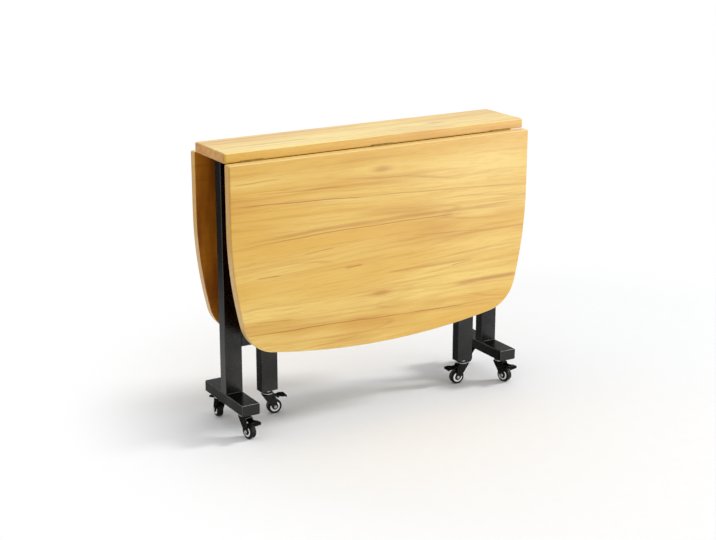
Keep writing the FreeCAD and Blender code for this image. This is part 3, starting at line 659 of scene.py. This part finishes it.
def bead(start, end, first, second):
    """Points and faces of a rippled weld bead along a line, in the corner between two directions."""
    length = (end - start).length
    stations = round(length / bead_pitch) * bead_steps
    points = []
    for station in range(stations + 1):
        share = station / stations
        ripple = 1 - bead_ripple * abs(math.sin(math.pi * station / bead_steps))
        from_end = min(share, 1 - share) * length
        taper = math.sqrt(min(1.0, bead_tip + from_end / (2 * bead_radius)))
        corner = start.lerp(end, share)
        points.append(corner)
        for step in range(bead_arc + 1):
            angle = math.pi / 2 * step / bead_arc
            reach = first * math.cos(angle) + second * math.sin(angle)
            points.append(corner + reach * bead_radius * ripple * taper)
    around = bead_arc + 2
    faces = [tuple(range(around)), tuple(range(stations * around + around - 1, stations * around - 1, -1))]
    for station in range(stations):
        here = station * around
        for step in range(around):
            after = (step + 1) % around
            faces.append((here + after, here + step, here + around + step, here + around + after))
    return points, faces


def piece(name, forms, paint, body):
    """One mesh of several forms, painted, that rides on a body."""
    points = []
    faces = []
    for form_points, form_faces in forms:
        first = len(points)
        points += form_points
        faces += [tuple(first + corner for corner in face) for face in form_faces]
    mesh = bpy.data.meshes.new(name)
    mesh.from_pydata(points, [], faces)
    mesh.polygons.foreach_set("use_smooth", [len(face) <= largest_smooth_face for face in faces])
    mesh.materials.append(paint)
    holder = bpy.data.objects.new(name, mesh)
    bpy.context.scene.collection.objects.link(holder)
    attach(holder, body)


def hinge_screws(slots):
    """Two screws in each hinge plate, under the centre board and inside the leaves."""
    paint = slots["hinge_steel"]
    plate_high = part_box("top_plates")[1]
    under = plate_high.z - hinge_plate_thickness
    heads = []
    for side, body in ((-1, "front_leaf"), (1, "back_leaf")):
        leaf_plates_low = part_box(body.replace("leaf", "hinge_plates"))[0]
        leaf_face = side * (leaf_inner_face - hinge_plate_thickness)
        middle = leaf_plates_low.z + leaf_screw_inset
        board_middle = side * (plate_high.y + board_screw_offset)
        leaf_heads = []
        for hinge in hinge_places:
            for x in (hinge - hinge_screw_reach, hinge + hinge_screw_reach):
                size = (hinge_screw_radius, hinge_screw_height)
                heads.append(screw_head(*size, Vector((x, board_middle, under)), Vector((0, 0, -1))))
                leaf_heads.append(screw_head(*size, Vector((x, leaf_face, middle)), Vector((0, -side, 0))))
        piece(body + "_hinge_screws", leaf_heads, paint, body)
    piece("top_hinge_screws", heads, paint, "frame")


def plate_screws(slots):
    """Four screws in each plate under the centre board."""
    low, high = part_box("top_plates")
    column_low, column_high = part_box("right_column")
    width = 2 * (high.x - (column_low.x + column_high.x) / 2)
    heads = []
    for side in (-1, 1):
        for x in (high.x - plate_screw_inset, high.x - width + plate_screw_inset):
            for y in (low.y + plate_screw_inset, high.y - plate_screw_inset):
                place = Vector((side * x, y, low.z))
                heads.append(screw_head(plate_screw_radius, plate_screw_height, place, Vector((0, 0, -1))))
    piece("top_plate_screws", heads, slots["zinc"], "frame")


def frame_welds(slots):
    """Beads where the columns stand on the feet and where the rails meet the columns and plates."""
    up = Vector((0, 0, 1))
    stretcher_low, stretcher_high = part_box("stretcher")
    rail_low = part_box("upper_rail")[0]
    beads = []
    for name, inward in (("left_column", 1), ("right_column", -1)):
        low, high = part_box(name)
        inner = high.x if inward > 0 else low.x
        across = Vector((inward, 0, 0))
        for y, out in ((low.y, Vector((0, -1, 0))), (high.y, Vector((0, 1, 0)))):
            for z, away in ((low.z, up), (high.z, -up)):
                start = Vector((low.x + bead_margin, y, z))
                end = Vector((high.x - bead_margin, y, z))
                beads.append(bead(start, end, out, away))
        for z, away in ((stretcher_low.z, -up), (stretcher_high.z, up), (rail_low.z, -up)):
            start = Vector((inner, low.y + bead_margin, z))
            end = Vector((inner, high.y - bead_margin, z))
            beads.append(bead(start, end, across, away))
    piece("frame_welds", beads, slots["weld"], "frame")


def gate_welds(slots, side):
    """Beads where a gate's arms meet its leg."""
    leg_low, leg_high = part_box(side + "_gate_leg")
    beads = []
    for name in ("_gate_upper_arm", "_gate_lower_arm"):
        arm_low, arm_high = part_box(side + name)
        arm_on_left = arm_low.x < leg_low.x
        x = leg_low.x if arm_on_left else leg_high.x
        across = Vector((-1 if arm_on_left else 1, 0, 0))
        for z, away in ((arm_low.z, Vector((0, 0, -1))), (arm_high.z, Vector((0, 0, 1)))):
            start = Vector((x, arm_low.y + bead_margin, z))
            end = Vector((x, arm_high.y - bead_margin, z))
            beads.append(bead(start, end, across, away))
    piece(side + "_gate_welds", beads, slots["weld"], side + "_gate")


def floor():
    """A pale floor that keeps the shadow near the table and runs out to plain white."""
    bpy.ops.mesh.primitive_plane_add(size=floor_size)
    plane = bpy.context.object
    plane.name = "studio_floor"
    graph = painted("studio_floor_paint")
    place = graph.place()
    mottle = graph.noise(place, mottle_scale, detail=3.0)
    colour = graph.blend(graph.rise(mottle, *mottle_rise), floor_white, plain_white)
    graph.shade(Base_Color=colour, Roughness=floor_roughness)
    off_centre = graph.shift(place, tuple(-step for step in floor_centre))
    far = graph.add("ShaderNodeVectorMath", {0: off_centre}, operation="LENGTH").outputs["Value"]
    share = graph.math("MULTIPLY", graph.rise(far, floor_near, floor_far), graph.seen())
    glow = graph.add("ShaderNodeEmission", {"Color": plain_white, "Strength": 1.0}).outputs["Emission"]
    paint = graph.nodes["Principled BSDF"].outputs["BSDF"]
    mix = graph.add("ShaderNodeMixShader", {"Fac": share, 1: paint, 2: glow})
    graph.put(graph.nodes["Material Output"].inputs["Surface"], mix.outputs["Shader"])
    plane.data.materials.append(graph.owner)


def world():
    """Soft light that grows towards the zenith, plain white where it is seen or mirrored."""
    studio = bpy.data.worlds.new("studio")
    graph = Graph(studio)
    background = graph.nodes["Background"]
    height = graph.parts(graph.add("ShaderNodeTexCoord", {}).outputs["Generated"])["Z"]
    light = graph.rise(height, 0.0, 1.0, horizon_strength, zenith_strength)
    strength = graph.add("ShaderNodeMix", {"Factor": graph.seen(), "A": light, "B": 1.0}).outputs["Result"]
    graph.put(background.inputs["Color"], plain_white)
    graph.put(background.inputs["Strength"], strength)
    bpy.context.scene.world = studio


def aim(holder, place, target):
    """Puts a lamp at a place and turns it to a target."""
    reach = [end - start for end, start in zip(target, place)]
    flat = math.hypot(reach[0], reach[1])
    holder.location = place
    holder.rotation_euler = (math.atan2(flat, -reach[2]), 0.0, math.atan2(-reach[0], reach[1]))


def lamp(name, kind, power, place, target):
    """A new lamp at a place, turned to a target."""
    light = bpy.data.lights.new(name, kind)
    light.energy = power
    holder = bpy.data.objects.new(name, light)
    bpy.context.scene.collection.objects.link(holder)
    aim(holder, place, target)
    return holder


def lights():
    """A soft light high on the right, whose shadows run to the left, and a wide low lamp in front."""
    sun = lamp("side_light", "SUN", sun_power, sun_from, (0.0, 0.0, 0.0))
    sun.data.angle = math.radians(sun_spread)
    key = lamp("key_lamp", "AREA", key_power, key_place, key_aim)
    key.data.shape = "RECTANGLE"
    key.data.size = key_width
    key.data.size_y = key_height


def camera():
    """The photo's viewpoint."""
    lens = bpy.data.cameras.new("photo_view")
    lens.lens = camera_lens
    lens.sensor_width = sensor_width
    holder = bpy.data.objects.new("photo_view", lens)
    bpy.context.scene.collection.objects.link(holder)
    holder.location = camera_place
    holder.rotation_euler = (math.pi / 2 + camera_tilt, 0.0, camera_turn)
    bpy.context.scene.camera = holder


paints = dress()
hinge_screws(paints)
plate_screws(paints)
frame_welds(paints)
gate_welds(paints, "front")
gate_welds(paints, "back")
floor()
world()
lights()
camera()
bpy.context.scene.view_settings.view_transform = "Standard"
